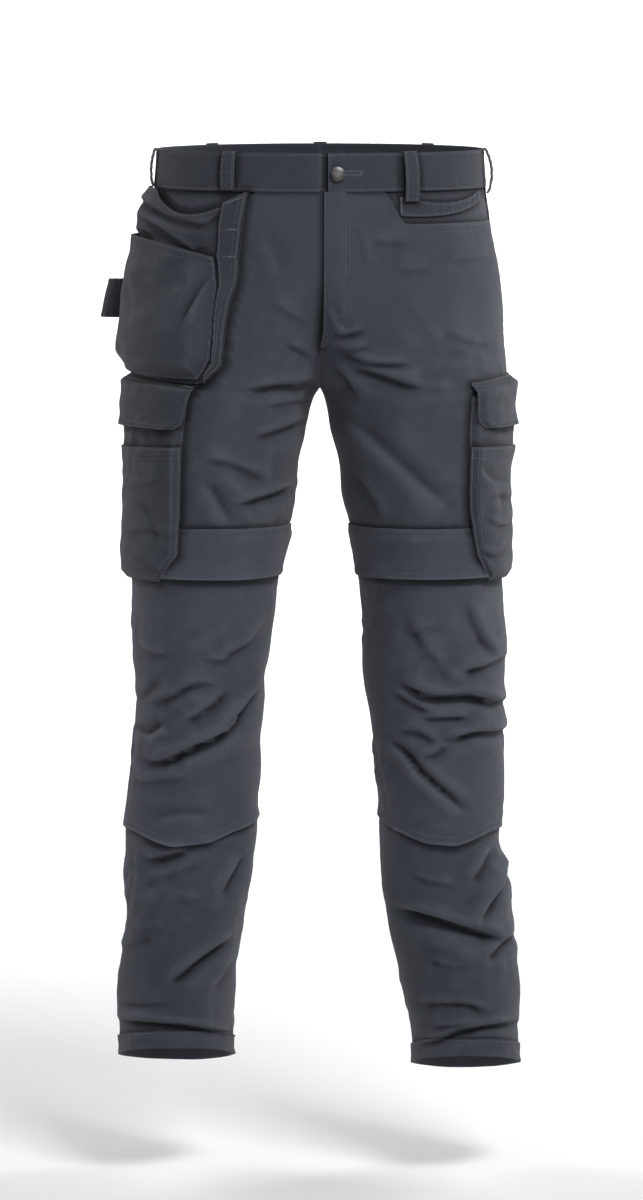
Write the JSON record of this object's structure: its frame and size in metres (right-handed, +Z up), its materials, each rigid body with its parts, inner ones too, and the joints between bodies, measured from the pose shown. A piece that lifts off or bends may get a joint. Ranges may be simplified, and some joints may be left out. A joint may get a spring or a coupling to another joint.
{
  "type": "work pants",
  "caption": "Multi-pocket canvas work trousers held open in their worn shape, with a hanging tool pocket, thigh pockets with flaps, doubled knees and a hammer loop.",
  "frame": {"origin": "centre of the waistband, half way up it and on the middle plane between its sides, where the pants are held", "axes": "+Z up along the body, with the waist at the top; the front with the fly faces -Y; the wearer's right leg is at -X and the left leg at +X"},
  "size_m": [0.4652, 0.2855, 1.0442],
  "materials": {
    "canvas": "matte canvas weave",
    "waistband_canvas": "matte canvas weave, doubled",
    "pocket_canvas": "matte canvas weave",
    "knee_canvas": "matte canvas weave",
    "webbing": "matte webbing",
    "button_metal": "dark antique metal"
  },
  "bodies": {
    "root": {"front_right": "canvas", "front_left": "canvas", "back_right": "canvas", "back_left": "canvas", "fly": "canvas", "pocket_facing_right": "canvas", "pocket_facing_left": "canvas", "tucked_pocket_left": "canvas", "hem_right": "canvas", "hem_left": "canvas", "waistband_right": "waistband_canvas", "waistband_left": "waistband_canvas", "belt_loop_1": "waistband_canvas", "belt_loop_2": "waistband_canvas", "belt_loop_3": "waistband_canvas", "belt_loop_4": "waistband_canvas", "belt_loop_5": "waistband_canvas", "belt_loop_6": "waistband_canvas", "belt_loop_7": "waistband_canvas", "holster_back": "pocket_canvas", "holster_front": "pocket_canvas", "holster_strip": "pocket_canvas", "cargo_body_right": "pocket_canvas", "cargo_tool_right": "pocket_canvas", "cargo_flap_right": "pocket_canvas", "cargo_body_left": "pocket_canvas", "cargo_tool_left": "pocket_canvas", "cargo_flap_left": "pocket_canvas", "knee_band_right": "knee_canvas", "knee_band_left": "knee_canvas", "knee_panel_right": "knee_canvas", "knee_panel_left": "knee_canvas", "hammer_loop": "webbing", "button": "button_metal"}
  },
  "joints": []
}
